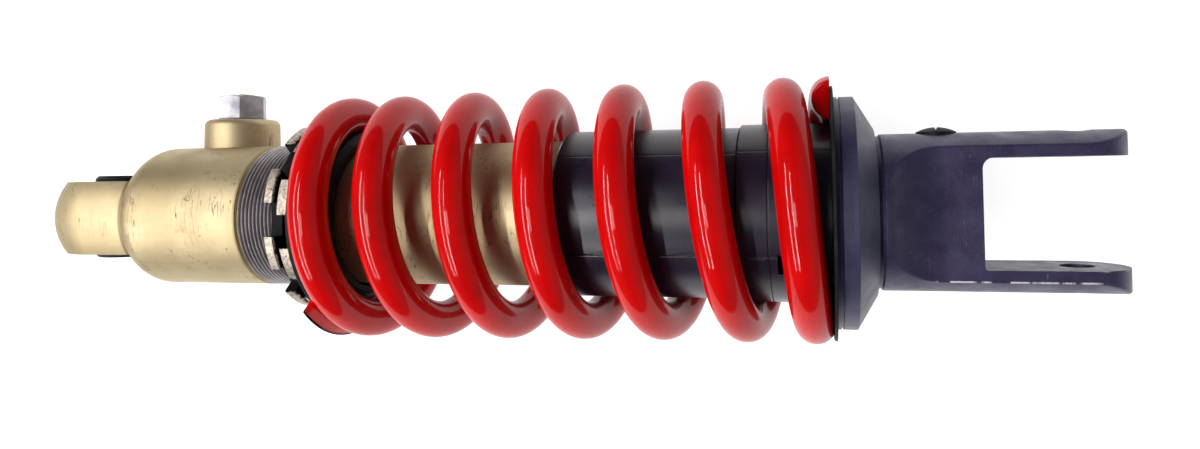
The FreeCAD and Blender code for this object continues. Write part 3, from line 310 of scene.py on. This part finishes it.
def spring_paint():
    """Gloss red powder coat with orange peel and small chips."""
    m = Shader(
        "spring_paint", (0.54, 0.0004, 0.0010), 0.0, 0.55,
        Specular_IOR_Level=0.03, Coat_Weight=0.50, Coat_Roughness=0.025,
    )
    shade = m.mottled(55.0, 3.0, 0.35, 0.7, (0.56, 0.0004, 0.0010), (0.46, 0.0003, 0.0008))
    patch = m.step(m.noise(70.0, 2.0), 0.54, 0.62)
    chips = m.both(m.step(m.noise(800.0, 3.0), 0.70, 0.73), patch)
    m.colour(m.mix(chips, shade, (0.05, 0.008, 0.008)))
    m.rough(m.scaled(m.noise(140.0, 4.0), 0.3, 0.7, 0.48, 0.62))
    m.bump(m.noise(260.0, 2.0), 0.05, 0.00008)
    m.bump(m.inverse(chips), 0.5, 0.0001)
    return m.mat


def seam(m, angle):
    """A straight moulding seam along the tube, at an angle from its front towards its top."""
    _, y, z = m.axes()
    off = m.maths("ADD", m.maths("MULTIPLY", y, math.cos(angle)),
                  m.maths("MULTIPLY", z, -math.sin(angle)))
    return m.both(m.near(off, 0.0, 0.00012, 0.00040), m.step(z, 0.0, 0.001))


def tube_plastic():
    """Moulded dark blue-grey plastic, semi gloss, with light scuffs."""
    m = Shader("tube_plastic", (0.012, 0.007, 0.022), 0.0, 0.30, Specular_IOR_Level=0.50)
    x, _, _ = m.axes()
    tone = m.mottled(60.0, 4.0, 0.35, 0.7, (0.011, 0.006, 0.019), (0.020, 0.012, 0.034))
    tone = m.over(tone, (0.06, 0.05, 0.085), m.step(m.noise(420.0, 5.0), 0.60, 0.78), 0.30)
    lines = m.near(x, TUBE_JOINT_X, 0.00010, 0.00040)
    for angle in TUBE_SEAMS:
        lines = m.maths("MAXIMUM", lines, seam(m, angle))
    m.colour(m.over(tone, (0.002, 0.002, 0.003), lines, 0.8))
    m.bump(m.inverse(lines), 0.7, 0.00015)
    m.rough(m.scaled(m.noise(110.0, 5.0), 0.3, 0.7, 0.26, 0.36))
    m.bump(m.noise(700.0, 3.0, m.stretched((0.35, 1.0, 1.0))), 0.2, 0.00008)
    return m.mat


def seat_paint():
    """Satin charcoal of the lower spring seat, with turning lines and dust."""
    m = Shader("seat_paint", (0.036, 0.032, 0.056), 0.3, 0.42)
    tone = m.mottled(70.0, 5.0, 0.38, 0.7, (0.032, 0.029, 0.072), (0.052, 0.048, 0.096))
    m.colour(m.over(tone, (0.10, 0.10, 0.15), m.step(m.noise(500.0, 5.0), 0.62, 0.76), 0.3))
    m.rough(m.scaled(m.noise(130.0, 4.0), 0.3, 0.7, 0.36, 0.5))
    m.bump(m.streaks(1500.0, 12.0), 0.25, 0.00008)
    return m.mat


def rubbed_edge(m):
    """The lower ear's front edge, rubbed bright in places."""
    x, y, z = m.axes()
    on_edge = m.both(m.near(y, EAR_EDGE_Y, 0.0001, 0.0004),
                     m.step(z, EAR_FRONT_Z, EAR_FRONT_Z + 0.0004))
    along = m.both(m.step(x, 0.300, 0.304), m.inverse(m.step(x, 0.344, 0.350)))
    return m.both(on_edge, m.both(along, m.step(m.streaks(240.0, 60.0, 3.0), 0.45, 0.55)))


def slot_scuffs(m):
    """The lower ear's face in the slot, scuffed by the bolted joint."""
    x, y, _ = m.axes()
    patches = m.step(m.streaks(110.0, 300.0, 5.0), 0.50, 0.66)
    return m.both(m.near(y, SLOT_FACE_Y, 0.0002, 0.0006), patches, m.step(x, 0.322, 0.336))


def clevis_finish():
    """Dark anodised forging: fine grain, small scuffs, and an edge worn to bare metal."""
    m = Shader("clevis_finish", (0.030, 0.024, 0.056), 0.3, 0.45)
    tone = m.mottled(90.0, 5.0, 0.35, 0.7, (0.027, 0.020, 0.060), (0.046, 0.037, 0.090))
    tone = m.over(tone, (0.09, 0.08, 0.15), m.step(m.noise(1500.0, 3.0), 0.56, 0.72), 0.30)
    tone = m.over(tone, (0.28, 0.26, 0.31), scratches(m, 900.0, (0.2, 0.1, 0.5), 0.56, 0.64), 0.32)
    tone = m.over(tone, (0.75, 0.74, 0.78), rubbed_edge(m), 0.9)
    m.colour(m.over(tone, (0.33, 0.31, 0.33), slot_scuffs(m), 0.7))
    m.rough(m.scaled(m.noise(160.0, 4.0), 0.3, 0.7, 0.34, 0.52))
    m.bump(m.noise(1300.0, 4.0), 0.5, 0.00010)
    return m.mat


def floor_paint():
    """Plain pale studio floor, bright enough to hide most of its shadows."""
    m = Shader("floor_paint", (0.40, 0.40, 0.40), 0.0, 0.8)
    m.colour(m.mottled(3.0, 2.0, 0.3, 0.7, (0.40, 0.40, 0.40), (0.42, 0.42, 0.42)))
    m.bsdf.inputs["Emission Color"].default_value = (1, 1, 1, 1)
    m.bsdf.inputs["Emission Strength"].default_value = 0.86
    return m.mat


FINISHES = {
    "champagne_anodised": gold(),
    "bright_steel": steel("bright_steel", (0.50, 0.49, 0.52), 0.52),
    "black_steel": dull("black_oxide", (0.007, 0.007, 0.009), 0.55, (0.024, 0.022, 0.025), 700.0, 0.2,
                        specular=0.2),
    "rubber_black": dull("rubber_black", (0.015, 0.015, 0.016), 0.72, (0.03, 0.03, 0.03)),
    "brass": steel("brass", (0.72, 0.55, 0.26), 0.30),
    "black_plastic": dull("black_plastic", (0.018, 0.018, 0.020), 0.45, (0.04, 0.04, 0.042)),
    "machined_aluminium": steel("machined_aluminium", (0.78, 0.79, 0.80), 0.30),
    "end_cap_black": dull("end_cap_black", (0.022, 0.022, 0.026), 0.40, (0.05, 0.05, 0.055), 800.0, 0.6),
    "bronze_bush": steel("bronze_bush", (0.52, 0.38, 0.20), 0.45),
    "band": dull("band", (0.20, 0.22, 0.17), 0.6, (0.28, 0.29, 0.23)),
    "ring_steel": ring_paint(),
    "seat_black": dull("seat_black", (0.006, 0.006, 0.008), 0.58, (0.020, 0.019, 0.022), 700.0, 0.1,
                       specular=0.15),
    "hard_chrome": steel("hard_chrome", (0.82, 0.83, 0.85), 0.08, 1200.0),
    "steel": steel("steel", (0.55, 0.55, 0.57), 0.32),
    "piston_sintered": steel("piston_sintered", (0.34, 0.34, 0.35), 0.5, 1400.0),
    "bumper_rubber": dull("bumper_rubber", (0.02, 0.02, 0.02), 0.7, (0.04, 0.04, 0.04)),
    "bump_foam": dull("bump_foam", (0.60, 0.48, 0.24), 0.85, (0.70, 0.58, 0.32), 1500.0),
    "seat_charcoal": seat_paint(),
    "guide_plastic": tube_plastic(),
    "clevis_dark": clevis_finish(),
    "spring_red": spring_paint(),
}


def slot_of(node):
    """The material slot that the record gives a node."""
    return next(s["material_slot"] for s in frame["record"]["subparts"] if s["node"] == node)


for node_name, node_object in frame["nodes"].items():
    for material_slot in node_object.material_slots:
        material_slot.material = FINISHES[slot_of(node_name)]


# --------------------------------------------------------------------------------------------
# Mesh helpers
# --------------------------------------------------------------------------------------------
def mesh_object(name, build, material, smooth=True):
    """A new object in the row frame from a bmesh that build fills."""
    data = bpy.data.meshes.new(name)
    bm = bmesh.new()
    build(bm)
    bmesh.ops.recalc_face_normals(bm, faces=bm.faces)
    bm.to_mesh(data)
    bm.free()
    made = bpy.data.objects.new(name, data)
    bpy.context.scene.collection.objects.link(made)
    data.materials.append(material)
    for polygon in data.polygons:
        polygon.use_smooth = smooth
    return made


# --------------------------------------------------------------------------------------------
# Coil spring
# --------------------------------------------------------------------------------------------
def coil_centre(turn):
    """The middle of the wire after a number of turns, as in the CAD model."""
    angle = 2 * math.pi * turn
    y = COIL_RADIUS * math.cos(angle)
    z = COIL_RADIUS * math.sin(angle)
    fall = (COIL_PITCH - WIRE - SEAT_GAP) / (2 * -FIRST_TURN - 1)
    left = max(0.0, -turn)
    over = max(0.0, turn - CLOSING_START)
    bent = min(over, CLOSING_LENGTH)
    drop = CLOSING_RATE * bent * (2 * over - bent)
    share = min(max((turn - LEAN_START) / LEAN_TURNS, 0.0), 1.0)
    lean = PLANE_TILT * y + FRONT_LEAN * math.sin(math.pi * share) * z
    x = COIL_TOP + COIL_PITCH * turn + fall * left ** 2 - drop - lean
    bow = min(max(BOW_RATE * (turn - BOW_START), BOW_LOW), BOW_HIGH)
    return Vector((x, y + bow, z))


def wire_rings(first, last, per_turn=96, around=36):
    """Rings of points round the wire from one turn to another, flattened at the ground ends."""
    steps = max(2, round((last - first) * per_turn))
    rings = []
    for i in range(steps + 1):
        turn = first + (last - first) * i / steps
        centre = coil_centre(turn)
        ahead = (coil_centre(turn + TURN_STEP) - coil_centre(turn - TURN_STEP)).normalized()
        out = Vector((0, centre.y, centre.z)).normalized()
        out = (out - ahead * out.dot(ahead)).normalized()
        side = ahead.cross(out)
        points = []
        for k in range(around):
            angle = 2 * math.pi * k / around
            point = centre + (out * math.cos(angle) + side * math.sin(angle)) * WIRE / 2
            point.x = min(max(point.x, SPRING_START), SPRING_END)
            points.append(point)
        rings.append((turn, centre, points))
    return rings


def wire_piece(name, first, last, material, cap_first, cap_last):
    """A length of spring wire; the capped ends are closed with a cut face."""
    rings = wire_rings(first, last)
    turns = []

    def build(bm):
        rows = []
        for turn, _, points in rings:
            rows.append([bm.verts.new(p) for p in points])
            turns.extend([turn] * len(points))
        for a, b in zip(rows, rows[1:]):
            for k in range(len(a)):
                after = (k + 1) % len(a)
                bm.faces.new((a[k], a[after], b[after], b[k]))
        for capped, row, (turn, _, points) in (
            (cap_first, rows[0], rings[0]), (cap_last, rows[-1], rings[-1])
        ):
            if capped:
                middle = sum(points, Vector()) / len(points)
                inner = [bm.verts.new(middle + (p - middle) * CAP_SHARE) for p in points]
                hub = bm.verts.new(middle)
                turns.extend([turn] * (len(points) + 1))
                for k in range(len(row)):
                    after = (k + 1) % len(row)
                    bm.faces.new((row[k], row[after], inner[after], inner[k]))
                    bm.faces.new((inner[k], inner[after], hub))

    return mesh_object(name, build, material), turns


def spring():
    """Two lengths of wire, from the damper end to the seat end, parted at SPLIT_TURN; they replace the
    CAD spring.
    """
    paint = FINISHES["spring_red"]
    upper, upper_turns = wire_piece("spring_upper", FIRST_TURN, SPLIT_TURN, paint, True, False)
    lower, lower_turns = wire_piece("spring_lower", SPLIT_TURN, LAST_TURN, paint, False, True)
    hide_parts("coil_spring")
    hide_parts("coil_spring")
    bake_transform(upper)
    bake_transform(lower)


spring()


# --------------------------------------------------------------------------------------------
# Floor, lights and camera
# --------------------------------------------------------------------------------------------
def floor():
    """The studio floor, which is staging and not part of the object."""
    def build(bm):
        corners = ((-1, -1), (1, -1), (1, 1), (-1, 1))
        bm.faces.new([bm.verts.new((x * FLOOR_HALF, y * FLOOR_HALF, FLOOR_Z)) for x, y in corners])

    mesh_object("floor", build, floor_paint(), smooth=False)


def area_light(name, towards, distance, size, power):
    """A rectangular light that faces the middle of the object from a direction."""
    data = bpy.data.lights.new(name, "AREA")
    data.shape = "RECTANGLE"
    data.size, data.size_y = size
    data.energy = power
    made = bpy.data.objects.new(name, data)
    bpy.context.scene.collection.objects.link(made)
    way = Vector(towards).normalized()
    made.location = STUDIO_MIDDLE + way * distance
    across = Vector((0, 1, 0)).cross(way).normalized()
    made.rotation_euler = Matrix((across, way.cross(across), way)).transposed().to_euler()


def world_light():
    """A dim studio room: darkest beyond the eye, lighter beyond the clevis."""
    world = bpy.data.worlds.new("studio")
    bpy.context.scene.world = world
    world.use_nodes = True
    tree = world.node_tree
    place = tree.nodes.new("ShaderNodeTexCoord")
    split = tree.nodes.new("ShaderNodeSeparateXYZ")
    ramp = tree.nodes.new("ShaderNodeValToRGB")
    tree.links.new(place.outputs["Generated"], split.inputs[0])
    tree.links.new(split.outputs["X"], ramp.inputs[0])
    tree.links.new(ramp.outputs[0], tree.nodes["Background"].inputs["Color"])
    for element, place_x, grey in zip(ramp.color_ramp.elements, (0.1, 0.9), (0.05, 0.38)):
        element.position = place_x
        element.color = (grey, grey, grey, 1)


def lights():
    """Two narrow strips for the bright lines along the object, and a small softbox."""
    world_light()
    area_light("strip_near", (-0.40, -0.16, 0.92), 1.6, (0.032, 2.6), 21)
    area_light("strip_far", (-0.74, -0.12, 0.66), 1.6, (0.032, 2.6), 21)
    area_light("softbox", (-0.22, -0.05, 0.97), 1.2, (0.28, 0.40), 2.6)


def camera():
    """The camera: rolled about its own axis, then turned about X, then about Y."""
    data = bpy.data.cameras.new("camera")
    data.sensor_width = 36
    data.lens = CAMERA_LENS
    data.shift_x, data.shift_y = CAMERA_SHIFT
    data.clip_start = 0.01
    made = bpy.data.objects.new("camera", data)
    bpy.context.scene.collection.objects.link(made)
    about_x, about_y, roll = CAMERA_TURNS
    turn = Euler((0, about_y, 0)).to_matrix() @ Euler((about_x, 0, 0)).to_matrix()
    turn = turn @ Euler((0, 0, roll)).to_matrix()
    made.rotation_euler = turn.to_euler()
    made.location = CAMERA_PLACE
    bpy.context.scene.camera = made


floor()
lights()
camera()
bpy.context.scene.view_settings.view_transform = "Standard"
